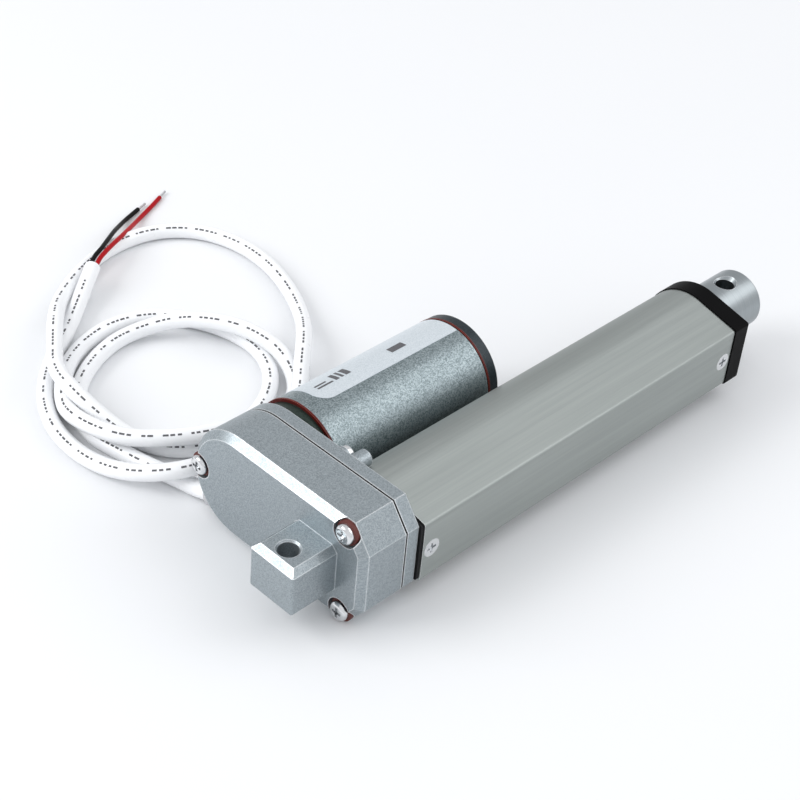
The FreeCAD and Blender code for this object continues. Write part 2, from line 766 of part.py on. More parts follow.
def rod_end():
    end = rod_along_x(ROD_R, ROD_SEAM_X, ROD_X1)
    end = end.makeFillet(ROD_EDGE_R, edges_at_x(end, ROD_X1))
    plug = rod_along_x(ROD_BORE_R - 0.02, ROD_SEAM_X - 12, ROD_SEAM_X)
    plug = plug.makeChamfer(0.8, edges_at_x(plug, ROD_SEAM_X - 12))
    hole = rod_along_z(PIN_HOLE_R, HOLE_TO_HOLE, 0, -ROD_R - 1, ROD_R + 1)
    flare = [
        Part.makeCone(PIN_HOLE_R, PIN_HOLE_R + 2.6, 2.6, vec(HOLE_TO_HOLE, 0, FLARE_Z)),
        Part.makeCone(PIN_HOLE_R + 2.6, PIN_HOLE_R, 2.6, vec(HOLE_TO_HOLE, 0, -FLARE_Z - 2.6)),
    ]
    return cut_all(end.fuse(plug).removeSplitter(), [hole] + flare)


# ---------------------------------------------------------------- limit switches

def switch_body(x0, x1, tip_x):
    case = block(x0, x1, SWITCH_Y0, SWITCH_Y1, SWITCH_Z0, SWITCH_Z1)
    middle_y, middle_z = (SWITCH_Y0 + SWITCH_Y1) / 2, (SWITCH_Z0 + SWITCH_Z1) / 2
    plunger = block(min(x0, tip_x), max(x1, tip_x), middle_y - 0.6, middle_y + 0.6,
                    middle_z - 0.8, middle_z + 0.8)
    return case.fuse(plunger).removeSplitter()


def rear_limit_switch():
    tip = KEY_X0 - SWITCH_GAP
    return switch_body(tip - SWITCH_LENGTH, tip - PLUNGER_OUT, tip)


def front_limit_switch():
    tip = KEY_X1 + STROKE + SWITCH_GAP
    return switch_body(tip + PLUNGER_OUT, tip + SWITCH_LENGTH, tip)


def switch_board():
    return block(REAR_SPIGOT_X1 + 0.4, FRONT_SPIGOT_X0 - 0.2, CHANNEL_Y + 0.05, SWITCH_Y0,
                 -BOARD_HALF_W, BOARD_HALF_W)


def switch_diodes():
    y = SWITCH_Y0 + DIODE_R
    return Part.makeCompound([rod_along_x(DIODE_R, x, x + 4, y, 0.4) for x in (52.0, 60.0)])


def switch_leads():
    y = SWITCH_Y0 + LEAD_R
    return Part.makeCompound([
        rod_along_x(LEAD_R, REAR_SPIGOT_X1 + 0.6, KEY_X1 + STROKE, y, z) for z in LEAD_Z
    ])


# ---------------------------------------------------------------- motor

def motor_flange():
    plate = rod_along_x(FLANGE_R, BOX_X1, SLEEVE_X0 - GASKET_T, MOTOR_Y)
    step = rod_along_x(SLEEVE_BORE_R - STEP_IN, SLEEVE_X0 - GASKET_T, CAN_X0, MOTOR_Y)
    holes = [rod_along_x(M3_CLEAR_R, BOX_X1, CAN_X0, y, z) for y, z in motor_screw_places()]
    holes.append(rod_along_x(MOTOR_HOLE_R, BOX_X1, CAN_X0, MOTOR_Y))
    return cut_all(plate.fuse(step).removeSplitter(), holes)


def motor_front_gasket():
    return ring_along_x(SLEEVE_R + 0.25, SLEEVE_BORE_R - STEP_IN, SLEEVE_X0 - GASKET_T, SLEEVE_X0, MOTOR_Y)


def motor_rear_gasket():
    return ring_along_x(SLEEVE_R + 0.15, SLEEVE_BORE_R, SLEEVE_X1, SLEEVE_X1 + GASKET_T, MOTOR_Y)


def motor_sleeve():
    sleeve = rod_along_x(SLEEVE_R, SLEEVE_X0, SLEEVE_X1, MOTOR_Y)
    sleeve = sleeve.makeChamfer(SLEEVE_CHAMFER, edges_at_x(sleeve, SLEEVE_X0) + edges_at_x(sleeve, SLEEVE_X1))
    return sleeve.cut(rod_along_x(SLEEVE_BORE_R, SLEEVE_X0, SLEEVE_X1, MOTOR_Y))


def label_corner(angle, side):
    """The waste outside a rounded front corner of the label, at angle, on the given side."""
    r = LABEL_CORNER_R
    waste = block(0, r, 0, SLEEVE_R + 1, min(side * r, 0), max(side * r, 0))
    waste = waste.cut(Part.makeCylinder(r, SLEEVE_R + 1, vec(r, 0, side * r), vec(0, 1, 0)))
    waste.rotate(vec(0, 0, 0), vec(1, 0, 0), angle)
    return waste


def motor_label():
    """A thin sticker wrapped over the far side of the sleeve."""
    stop = LABEL_TOP - LABEL_SWEEP
    angles = [math.radians(degrees) for degrees in (LABEL_TOP, (LABEL_TOP + stop) / 2, stop)]
    outer = [at_angle(SLEEVE_R + LABEL_T, angle) for angle in angles]
    inner = [at_angle(SLEEVE_R, angle) for angle in angles]
    wire = Part.Wire([
        Part.Arc(*outer).toShape(),
        Part.makeLine(outer[2], inner[2]),
        Part.Arc(inner[2], inner[1], inner[0]).toShape(),
        Part.makeLine(inner[0], outer[0]),
    ])
    skin = Part.Face(wire).extrude(vec(LABEL_X1 - LABEL_X0, 0, 0))
    skin = cut_all(skin, [label_corner(LABEL_TOP, -1), label_corner(stop, 1)])
    return skin.translate(vec(LABEL_X0, MOTOR_Y, 0))


def motor_end_cap():
    start = SLEEVE_X1 + GASKET_T
    cap = rod_along_x(SLEEVE_R, start, END_CAP_X1, MOTOR_Y)
    cap = cap.makeFillet(0.8, edges_at_x(cap, END_CAP_X1))
    cap = cap.cut(rod_along_x(END_DISH_R, END_CAP_X1 - END_DISH_T, END_CAP_X1, MOTOR_Y))
    step = ring_along_x(SLEEVE_BORE_R - 0.2, SLEEVE_BORE_R - 2.2, BRUSH_PLATE_X1 + 0.2, start, MOTOR_Y)
    return cap.fuse(step).removeSplitter()


def motor_can():
    can = rod_along_x(CAN_R, CAN_X0, CAN_X1, MOTOR_Y)
    can = can.cut(rod_along_x(CAN_R - 1, CAN_X0 + CAN_WALL, CAN_X1, MOTOR_Y))
    holes = [rod_along_x(M3_TAPPED_R, CAN_X0, CAN_X0 + CAN_WALL, y, z) for y, z in motor_screw_places()]
    return cut_all(can, holes + [rod_along_x(MOTOR_BUSH_R, CAN_X0, CAN_X0 + CAN_WALL, MOTOR_Y)])


def motor_magnets():
    ring = ring_along_x(CAN_R - 1.02, MAGNET_R, CORE_X0 - 3, CORE_X1 + 2, MOTOR_Y)
    gap = block(CORE_X0 - 4, CORE_X1 + 3, MOTOR_Y - CAN_R, MOTOR_Y + CAN_R, -4.5, 4.5)
    return ring.cut(gap)


def motor_front_bush():
    return ring_along_x(MOTOR_BUSH_R, MOTOR_SHAFT_R + RUNNING, CAN_X0 - 1.5, CAN_X0 + 3.5, MOTOR_Y)


def motor_rear_bush():
    return ring_along_x(MOTOR_BUSH_R, MOTOR_SHAFT_R + RUNNING, CAN_X1 + 0.3, BRUSH_PLATE_X1 - 0.2, MOTOR_Y)


def brush_boxes(grow, y0, y1, x0, x1):
    sides = []
    for sign in (-1, 1):
        near, far = MOTOR_Y + sign * y0, MOTOR_Y + sign * y1
        sides.append(block(x0 - grow, x1 + grow, min(near, far), max(near, far),
                           -BRUSH_HALF - grow, BRUSH_HALF + grow))
    return sides


def motor_brushes():
    touch = rod_along_x(COMMUTATOR_R + RUNNING, COMMUTATOR_X0, COMMUTATOR_X1, MOTOR_Y)
    sides = brush_boxes(0, COMMUTATOR_R - 1, 10.0, BRUSH_X0, BRUSH_X1)
    return Part.makeCompound([side.cut(touch) for side in sides])


def motor_brush_plate():
    plate = rod_along_x(CAN_R, CAN_X1, BRUSH_PLATE_X1, MOTOR_Y)
    holders = brush_boxes(1.0, 6.0, 11.0, BRUSH_X0, CAN_X1 - 1.0)
    whole = fuse_all([plate] + holders)
    whole = cut_all(whole, brush_boxes(0, 3.0, 10.0, BRUSH_X0, BRUSH_X1))
    return whole.cut(rod_along_x(MOTOR_BUSH_R, CAN_X1, BRUSH_PLATE_X1, MOTOR_Y))


def slot_bars(r0, r1, half, x0, x1):
    """One bar for each armature slot, from radius r0 to r1."""
    bars = []
    for number in range(SLOTS):
        bar = block(x0, x1, r0, r1, -half, half)
        bar.rotate(vec(0, 0, 0), vec(1, 0, 0), 360.0 * number / SLOTS)
        bars.append(bar.translate(vec(0, MOTOR_Y, 0)))
    return bars


def armature_core():
    core = ring_along_x(CORE_R, MOTOR_SHAFT_R, CORE_X0, CORE_X1, MOTOR_Y)
    return cut_all(core, slot_bars(5.0, CORE_R + 1, 1.6, CORE_X0, CORE_X1))


def armature_windings():
    ends = [
        ring_along_x(WINDING_R, MOTOR_SHAFT_R + 0.6, CORE_X0 - WINDING_OUT, CORE_X0, MOTOR_Y),
        ring_along_x(WINDING_R, MOTOR_SHAFT_R + 0.6, CORE_X1, CORE_X1 + 3.0, MOTOR_Y),
    ]
    return fuse_all(ends + slot_bars(5.1, 9.6, 1.5, CORE_X0, CORE_X1))


def commutator():
    drum = ring_along_x(COMMUTATOR_R, MOTOR_SHAFT_R, COMMUTATOR_X0, COMMUTATOR_X1, MOTOR_Y)
    return cut_all(drum, slot_bars(3.4, COMMUTATOR_R + 1, 0.2, COMMUTATOR_X0, COMMUTATOR_X1))


def motor_shaft():
    return rod_along_x(MOTOR_SHAFT_R, FAST_X0 - 1.2, BRUSH_PLATE_X1 - 0.6, MOTOR_Y)


# ---------------------------------------------------------------- cable

def cable_points(route):
    return [vec(x, y, CABLE_LAY_Z + height) for x, y, height in route]


def cable_path(name, points):
    """Straight runs joined by tangent arcs, each as large as its two runs allow."""
    edges = []
    start = points[0]
    radii = []
    for before, corner, after in zip(points, points[1:], points[2:]):
        back, ahead = before - corner, after - corner
        reach = BEND_SHARE * min(back.Length, ahead.Length)
        turn = math.pi - back.getAngle(ahead)
        back.normalize()
        ahead.normalize()
        radius = reach / math.tan(turn / 2)
        radii.append(radius)
        half_way = (back + ahead).normalize()
        inner = corner + half_way * (radius / math.cos(turn / 2) - radius)
        a, b = corner + back * reach, corner + ahead * reach
        edges.append(Part.makeLine(start, a))
        edges.append(Part.Arc(a, inner, b).toShape())
        start = b
    edges.append(Part.makeLine(start, points[-1]))
    print(name, "length", round(sum(e.Length for e in edges), 1),
          "radii", [round(r, 1) for r in radii])
    return Part.Wire(edges)


def cable_tube(name, route, r):
    points = cable_points(route)
    path = cable_path(name, points)
    circle = Part.Wire(Part.makeCircle(r, points[0], points[1] - points[0]))
    tube = path.makePipeShell([circle], True, False)
    print(name, "volume against section times length",
          round(tube.Volume / (math.pi * r * r * path.Length), 4))
    return tube


def cable_grommet():
    barrel = along_exit(GROMMET_R, COLLAR_T0, GROMMET_T1)
    collar = along_exit(GROMMET_R + COLLAR_OVER, COLLAR_T0, COLLAR_T1)
    return barrel.fuse(collar).removeSplitter().cut(along_exit(CABLE_R, 0.0, GROMMET_T1))


def core_tips():
    """The tinned ends of the two cores."""
    tips = []
    for route in (BLACK_ROUTE, RED_ROUTE):
        before, end = cable_points(route[-2:])
        tips.append(Part.makeCylinder(TIP_R, TIP_LENGTH, end, end - before))
    return Part.makeCompound(tips)


NODES = {
    "rear_cover": rear_cover,
    "housing_gasket": housing_gasket,
    "front_plate": front_plate,
    "cover_screws": cover_screws,
    "cover_washers": cover_washers,
    "plate_screw": plate_screw,
    "outer_tube": outer_tube,
    "tube_gasket": tube_gasket,
    "tube_screws": tube_screws,
    "front_cap": front_cap,
    "rod_seal": rod_seal,
    "rod_guide_bush": lambda: ring_along_x(BUSH_R, ROD_R + RUNNING, FRONT_SPIGOT_X0, SEAL_X0),
    "rear_limit_switch": rear_limit_switch,
    "front_limit_switch": front_limit_switch,
    "switch_board": switch_board,
    "switch_diodes": switch_diodes,
    "switch_leads": switch_leads,
    "idler_shaft": idler_shaft,
    "bearing_outer_race": bearing_outer_race,
    "bearing_balls": bearing_balls,
    "bearing_circlip": bearing_circlip,
    "motor_flange": motor_flange,
    "motor_front_gasket": motor_front_gasket,
    "motor_sleeve": motor_sleeve,
    "motor_label": motor_label,
    "motor_rear_gasket": motor_rear_gasket,
    "motor_end_cap": motor_end_cap,
    "motor_can": motor_can,
    "motor_magnets": motor_magnets,
    "motor_front_bush": motor_front_bush,
    "motor_rear_bush": motor_rear_bush,
    "motor_brush_plate": motor_brush_plate,
    "motor_brushes": motor_brushes,
    "motor_screws": motor_screws,
    "cable_grommet": cable_grommet,
    "cable_jacket": lambda: cable_tube("cable_jacket", CABLE_ROUTE, CABLE_R),
    "black_core": lambda: cable_tube("black_core", BLACK_ROUTE, WIRE_R),
    "red_core": lambda: cable_tube("red_core", RED_ROUTE, WIRE_R),
    "core_tips": core_tips,
    "lead_screw": lead_screw,
    "output_gear": output_gear,
    "gear_pin": gear_pin_rod,
    "screw_collar": screw_collar,
    "bearing_inner_race": bearing_inner_race,
    "idler_pinion": idler_pinion,
    "idler_wheel": idler_wheel,
    "motor_shaft": motor_shaft,
    "motor_pinion": motor_pinion,
    "armature_core": armature_core,
    "armature_windings": armature_windings,
    "commutator": commutator,
    "rod_tube": rod_tube,
    "rod_end": rod_end,
    "rod_pins": rod_pins,
    "drive_nut": drive_nut,
}

os.makedirs("parts", exist_ok=True)
for node, make in NODES.items():
    make().exportStep("parts/" + node + ".step")
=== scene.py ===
import json
import math
import random

import bpy
import bmesh
from mathutils import Matrix, Vector


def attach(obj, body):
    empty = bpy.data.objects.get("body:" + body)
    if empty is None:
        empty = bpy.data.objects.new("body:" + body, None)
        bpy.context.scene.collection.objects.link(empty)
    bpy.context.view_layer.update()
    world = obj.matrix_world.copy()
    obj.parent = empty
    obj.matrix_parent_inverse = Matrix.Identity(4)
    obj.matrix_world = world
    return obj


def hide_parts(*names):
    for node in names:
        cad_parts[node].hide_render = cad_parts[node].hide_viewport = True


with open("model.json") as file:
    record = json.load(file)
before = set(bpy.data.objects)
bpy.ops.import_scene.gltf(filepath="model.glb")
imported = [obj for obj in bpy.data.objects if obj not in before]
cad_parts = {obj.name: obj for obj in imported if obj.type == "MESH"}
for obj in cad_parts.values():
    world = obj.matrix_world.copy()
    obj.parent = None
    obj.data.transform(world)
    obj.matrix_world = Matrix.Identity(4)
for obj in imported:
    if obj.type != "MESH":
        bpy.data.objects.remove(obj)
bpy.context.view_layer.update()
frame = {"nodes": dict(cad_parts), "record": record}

# Electric linear actuator lying on a pale floor, its free cable in loose turns behind it.
# Lengths are in millimetres unless a comment says metres; MM turns them into metres.
MM = 0.001

# ---- camera ----
CAMERA_AT = (-250.65, -256.21, 339.27)
CAMERA_RIGHT = (0.70351, -0.70668, 0.07538)
CAMERA_UP = (0.39443, 0.47648, 0.78574)
CAMERA_LENS = 82.03
SENSOR = 36.0
# the nearest and the farthest distance that is drawn, in metres
CAMERA_CLIP = (0.01, 20.0)

# ---- floor and cable ----
FLOOR_Z = -18.0
FLOOR_GAP = 0.05
CABLE_R = 2.7
CABLE_LAY_Z = FLOOR_Z + CABLE_R + FLOOR_GAP
WIRE_R = 0.8
TIP_R = 0.45
TIP_LENGTH = 4.5
# the twist of the strands along a bare end, in radians
TIP_TWIST = 2.2
OUTER_STRANDS = 6
STRAND_SIDES = 6
STRAND_STEPS = 12
# how finely a cord is divided round it, and along it between two control points
CABLE_ROUND_STEPS = 7
CABLE_LINE_STEPS = 14

# x, y, and height of the cable's centreline above its height when it lies on the floor
CABLE_ROUTE = [
    (15.0, 40.3, 5.5), (15.0, 52.0, 0.0), (12.7, 62.5, 0.0), (9.6, 73.0, 0.0), (7.6, 83.0, 0.0),
    (5.8, 93.2, 0.0), (8.6, 103.5, 0.0), (16.0, 114.0, 0.0), (27.0, 122.0, 0.0), (40.0, 127.0, 0.0),
    (51.5, 126.2, 0.8), (61.0, 119.0, 4.4), (67.8, 108.5, 6.4), (72.8, 97.8, 6.6), (75.6, 86.0, 4.2),
    (72.8, 75.4, 0.8), (65.4, 67.3, 0.2), (55.0, 64.0, 2.0), (43.0, 62.6, 5.6), (30.5, 65.0, 6.2),
    (18.5, 71.5, 6.2), (8.8, 79.5, 6.2), (4.4, 89.5, 6.0), (3.8, 100.5, 4.6), (6.6, 108.8, 3.2),
    (16.0, 121.1, 2.4), (30.0, 131.5, 0.0), (45.0, 135.2, 0.0), (59.5, 131.0, 0.0), (69.0, 119.5, 0.0),
    (74.0, 106.0, 0.0), (74.0, 92.4, 0.0), (67.4, 80.0, 0.0), (56.5, 71.5, 0.0), (43.0, 67.5, 0.0),
    (29.2, 66.5, 0.0), (18.9, 73.5, 0.0), (14.3, 84.8, 0.0), (11.2, 94.0, 3.2), (8.8, 106.0, 8.3),
    (10.4, 117.2, 8.8), (19.5, 130.0, 6.4), (29.0, 142.5, 6.0), (41.0, 156.0, 1.0), (57.0, 166.0, 0.0),
    (74.0, 171.5, 0.0), (91.0, 170.5, 0.0), (104.0, 161.5, 0.0), (110.0, 146.5, 0.0),
    (110.0, 130.5, 0.0), (105.5, 114.5, 0.0), (97.5, 99.0, 0.5), (86.0, 85.5, 5.5), (74.5, 74.5, 6.4),
    (60.5, 60.5, 5.5), (48.0, 54.8, 1.0), (36.0, 54.2, 1.0), (24.5, 54.9, 5.8), (11.0, 57.8, 6.3),
    (2.4, 69.4, 2.4), (-1.5, 82.0, 0.0), (-2.3, 95.0, 0.0), (0.5, 107.5, 0.0), (7.5, 120.0, 0.0),
    (19.0, 131.5, 0.0), (32.3, 140.6, 0.0), (43.6, 149.8, 0.8), (51.3, 155.4, 3.2), (57.6, 160.1, 4.4),
]
BLACK_ROUTE = [
    (57.0, 160.9, 4.4), (60.9, 163.8, 5.1), (66.0, 166.3, 5.0), (72.2, 170.6, 4.0), (78.4, 175.3, 2.4),
    (84.8, 180.4, -0.3), (91.8, 184.6, -1.9), (98.4, 186.8, -1.9),
]
RED_ROUTE = [
    (58.2, 159.3, 4.4), (61.6, 161.8, 5.0), (66.0, 163.9, 5.1), (71.0, 166.5, 4.6), (76.8, 169.6, 3.6),
    (84.4, 174.5, 1.4), (91.8, 179.7, -1.1), (98.8, 183.4, -1.9), (104.4, 185.8, -1.9),
    (109.6, 188.3, -1.9),
]

# ---- print on the cable's jacket: groups of short dark dashes, none of them a letter ----
PRINT_START = 20.0
PRINT_END_GAP = 8.0
PRINT_HEIGHT = 0.6
PRINT_LIFT = 0.03
DASH_LENGTHS = (0.7, 1.8)
DASH_GAPS = (0.5, 0.8)
GROUP_DASHES = (2, 5)
GROUP_GAP = 2.2
PRINT_FACING = (-0.45, -0.40, 0.80)
PRINT_SEED = 7
# the points across a dash, as shares of half its height
DASH_ACROSS = (-1.0, -0.33, 0.33, 1.0)

# ---- motor and its label ----
MOTOR_Y = 33.75
LABEL_R = 17.3
# the angle between two rows of points round a printed bar
BAR_STEP_DEG = 2.0
# start x, end x, and the two angles in degrees about the motor's axis, of each printed bar
LABEL_BARS = (
    (45.0, 51.0, 77.0, 79.5),
    (45.0, 49.5, 72.0, 74.5),
    (52.0, 53.5, 66.0, 79.5),
    (54.3, 55.3, 66.0, 79.5),
    (56.1, 58.1, 66.0, 79.5),
    (74.0, 80.0, 74.0, 83.0),
)

# ---- floor and light, in metres and watts ----
FLOOR_SIZE = 8.0
FLOOR_TONES = ((0.80, 0.81, 0.83), (0.85, 0.86, 0.87))
SKY_COLOUR = (0.97, 0.98, 1.0, 1.0)
# the sky's strength towards -Y and towards +Y, and the direction's Y where each is reached
SKY_LEVELS = (0.90, 0.72, -0.4, 0.7)
LIGHT_TARGET = (0.07, 0.02, 0.0)
# name, place, side of the square lamp, power
LIGHTS = (
    ("key", (-0.74, 0.63, 0.71), 0.7, 8.0),
    ("front", (0.72, -0.46, 0.74), 0.8, 2.8),
)

# ---- widths of the painted highlights along sharp edges, in metres ----
PAINT_EDGE = 0.0006
METAL_EDGE = 0.0003
MOULDED_EDGE = 0.00008
# cosine between the rounded and the true normal where an edge is full, and where it ends
EDGE_COSINES = (0.86, 0.99)


def mm(x, y, z):
    return Vector((x, y, z)) * MM


# ------------------------------------------------------------------ camera

def make_camera():
    data = bpy.data.cameras.new("camera")
    data.lens = CAMERA_LENS
    data.sensor_width = SENSOR
    data.clip_start, data.clip_end = CAMERA_CLIP
    camera = bpy.data.objects.new("camera", data)
    right, up = Vector(CAMERA_RIGHT).normalized(), Vector(CAMERA_UP)
    back = right.cross(up).normalized()
    up = back.cross(right)
    turn = Matrix((right, up, back)).transposed().to_4x4()
    camera.matrix_world = Matrix.Translation(mm(*CAMERA_AT)) @ turn
    bpy.context.scene.collection.objects.link(camera)
    bpy.context.scene.camera = camera


# ------------------------------------------------------------------ material tools

def new_material(name):
    material = bpy.data.materials.new(name)
    material.use_nodes = True
    tree = material.node_tree
    shader = tree.nodes["Principled BSDF"]
    return material, tree, shader


def add(tree, kind, **values):
    """Adds a node and sets its named inputs, or its own settings where it has no such input."""
    node = tree.nodes.new(kind)
    for key, value in values.items():
        name = key.replace("_", " ").title() if key.replace("_", " ").title() in node.inputs else key
        if name in node.inputs:
            node.inputs[name].default_value = value
        else:
            setattr(node, key, value)
    return node


def coordinates(tree, stretch=(1.0, 1.0, 1.0)):
    """Object coordinates in metres, stretched for drawn or brushed grain."""
    source = add(tree, "ShaderNodeTexCoord")
    mapping = add(tree, "ShaderNodeMapping")
    mapping.inputs["Scale"].default_value = stretch
    tree.links.new(source.outputs["Object"], mapping.inputs["Vector"])
    return mapping.outputs["Vector"]


def noise(tree, vector, scale, detail=4.0, roughness=0.55):
    """Soft noise, with scale waves to a metre."""
    node = add(tree, "ShaderNodeTexNoise", scale=scale, detail=detail, roughness=roughness)
    tree.links.new(vector, node.inputs["Vector"])
    return node.outputs["Fac"]


def flakes(tree, vector, scale):
    """A random grey level for each small cell, with scale cells to a metre."""
    node = add(tree, "ShaderNodeTexVoronoi", scale=scale)
    tree.links.new(vector, node.inputs["Vector"])
    grey = add(tree, "ShaderNodeSeparateColor")
    tree.links.new(node.outputs["Color"], grey.inputs["Color"])
    return grey.outputs["Red"]


def spread(tree, value, low, high, start=0.0, stop=1.0):
    """Maps a value between start and stop onto low to high."""
    node = add(tree, "ShaderNodeMapRange")
    node.inputs["From Min"].default_value = start
    node.inputs["From Max"].default_value = stop
    node.inputs["To Min"].default_value = low
    node.inputs["To Max"].default_value = high
    tree.links.new(value, node.inputs["Value"])
    return node.outputs["Result"]


def blend_colours(tree, value, low, high):
    """A colour between low and high; either may be a fixed colour or another node's output."""
    node = add(tree, "ShaderNodeMix", data_type="RGBA")
    tree.links.new(value, node.inputs["Factor"])
    for socket, colour in ((node.inputs[6], low), (node.inputs[7], high)):
        if hasattr(colour, "is_linked"):
            tree.links.new(colour, socket)
        else:
            socket.default_value = (*colour, 1.0)
    return node.outputs[2]


def add_bump(tree, shader, height, strength, distance, before=None):
    """Roughens the surface by up to distance, in metres, on top of the bump before."""
    node = add(tree, "ShaderNodeBump", strength=strength, distance=distance)
    tree.links.new(height, node.inputs["Height"])
    if before is not None:
        tree.links.new(before.outputs["Normal"], node.inputs["Normal"])
    tree.links.new(node.outputs["Normal"], shader.inputs["Normal"])
    return node


def edge_highlight_mask(tree, radius):
    """Near 1 within radius, in metres, of a sharp edge, and 0 on flat ground; it places a painted
    highlight along edges.
    """
    bevel = add(tree, "ShaderNodeBevel", samples=6)
    bevel.inputs["Radius"].default_value = radius
    geometry = add(tree, "ShaderNodeNewGeometry")
    dot = add(tree, "ShaderNodeVectorMath", operation="DOT_PRODUCT")
    tree.links.new(bevel.outputs["Normal"], dot.inputs[0])
    tree.links.new(geometry.outputs["Normal"], dot.inputs[1])
    return spread(tree, dot.outputs["Value"], 1.0, 0.0, *EDGE_COSINES)


def metal_paint(name, dark, light, flake_size, roughness, metallic, peel, edge=None):
    """Metallic paint or cast skin: small flakes, slow drift of tone, orange peel, and a painted
    highlight along sharp edges when edge is given.
    """
    material, tree, shader = new_material(name)
    vector = coordinates(tree)
    colour = blend_colours(tree, flakes(tree, vector, 1000.0 / flake_size), dark, light)
    drift = spread(tree, noise(tree, vector, 45.0, 3.0), 0.0, 0.35)
    middle = [0.5 * (a + b) for a, b in zip(dark, light)]
    colour = blend_colours(tree, drift, colour, middle)
    if edge is not None:
        colour = blend_colours(tree, edge_highlight_mask(tree, PAINT_EDGE), colour, edge)
    tree.links.new(colour, shader.inputs["Base Color"])
    shader.inputs["Metallic"].default_value = metallic
    rough = spread(tree, noise(tree, vector, 400.0), roughness - 0.06, roughness + 0.08)
    tree.links.new(rough, shader.inputs["Roughness"])
    first = add_bump(tree, shader, flakes(tree, vector, 1000.0 / flake_size), peel, 0.00005)
    add_bump(tree, shader, noise(tree, vector, 900.0, 2.0), peel, 0.00006, first)
    return material


def drawn_metal(
        name, dark, light, roughness, stretch, scale=600.0, groove=0.15, edge=None, along_x=0.0):
    """Bare or anodised metal with fine lines along the axis that stretch makes long.

    along_x above 0 spreads the gloss across lines that run along X, as on a drawn tube."""
    material, tree, shader = new_material(name)
    vector = coordinates(tree, stretch)
    lines = noise(tree, vector, scale, 6.0, 0.7)
    colour = blend_colours(tree, lines, dark, light)
    slow = spread(tree, noise(tree, coordinates(tree), 25.0, 2.0), 0.0, 0.3)
    colour = blend_colours(tree, slow, colour, dark)
    # edge, when given, is a painted highlight colour along sharp edges
    if edge is not None:
        colour = blend_colours(tree, edge_highlight_mask(tree, METAL_EDGE), colour, edge)
    tree.links.new(colour, shader.inputs["Base Color"])
    shader.inputs["Metallic"].default_value = 1.0
    rough = spread(tree, lines, roughness - 0.05, roughness + 0.07)
    tree.links.new(rough, shader.inputs["Roughness"])
    if along_x > 0.0:
        around = add(tree, "ShaderNodeTangent", direction_type="RADIAL", axis="X")
        tree.links.new(around.outputs["Tangent"], shader.inputs["Tangent"])
        shader.inputs["Anisotropic"].default_value = along_x
    add_bump(tree, shader, lines, groove, 0.00003)
    return material


def moulded(name, dark, light, roughness, grain=1800.0, depth=0.2, coat=0.0, edge=None, gloss=0.5):
    """Moulded plastic or rubber: fine grain, slow change of tone and uneven gloss."""
    material, tree, shader = new_material(name)
    vector = coordinates(tree)
    colour = blend_colours(tree, noise(tree, vector, 60.0, 5.0), dark, light)
    # edge, when given, is a painted highlight colour along sharp edges
    if edge is not None:
        colour = blend_colours(tree, edge_highlight_mask(tree, MOULDED_EDGE), colour, edge)
    tree.links.new(colour, shader.inputs["Base Color"])
    rough = spread(tree, noise(tree, vector, 250.0), roughness - 0.07, roughness + 0.07)
    tree.links.new(rough, shader.inputs["Roughness"])
    shader.inputs["Coat Weight"].default_value = coat
    shader.inputs["Specular IOR Level"].default_value = gloss
    add_bump(tree, shader, noise(tree, vector, grain, 3.0), depth, 0.00004)
    return material


def turned_metal(name, dark, light, roughness, pitch):
    """Lathe-turned metal about the X axis: fine rings along X."""
    material, tree, shader = new_material(name)
    vector = coordinates(tree, (1.0, 0.02, 0.02))
    rings = noise(tree, vector, 1000.0 / pitch, 3.0, 0.7)
    colour = blend_colours(tree, rings, dark, light)
    # a painted highlight, near white, along sharp edges such as the rim of the rod's hole
    colour = blend_colours(tree, edge_highlight_mask(tree, METAL_EDGE), colour, (0.95, 0.95, 0.96))
    tree.links.new(colour, shader.inputs["Base Color"])
    shader.inputs["Metallic"].default_value = 1.0
    tree.links.new(spread(tree, rings, roughness - 0.05, roughness + 0.06), shader.inputs["Roughness"])
    add_bump(tree, shader, rings, 0.25, 0.00003)
    return material


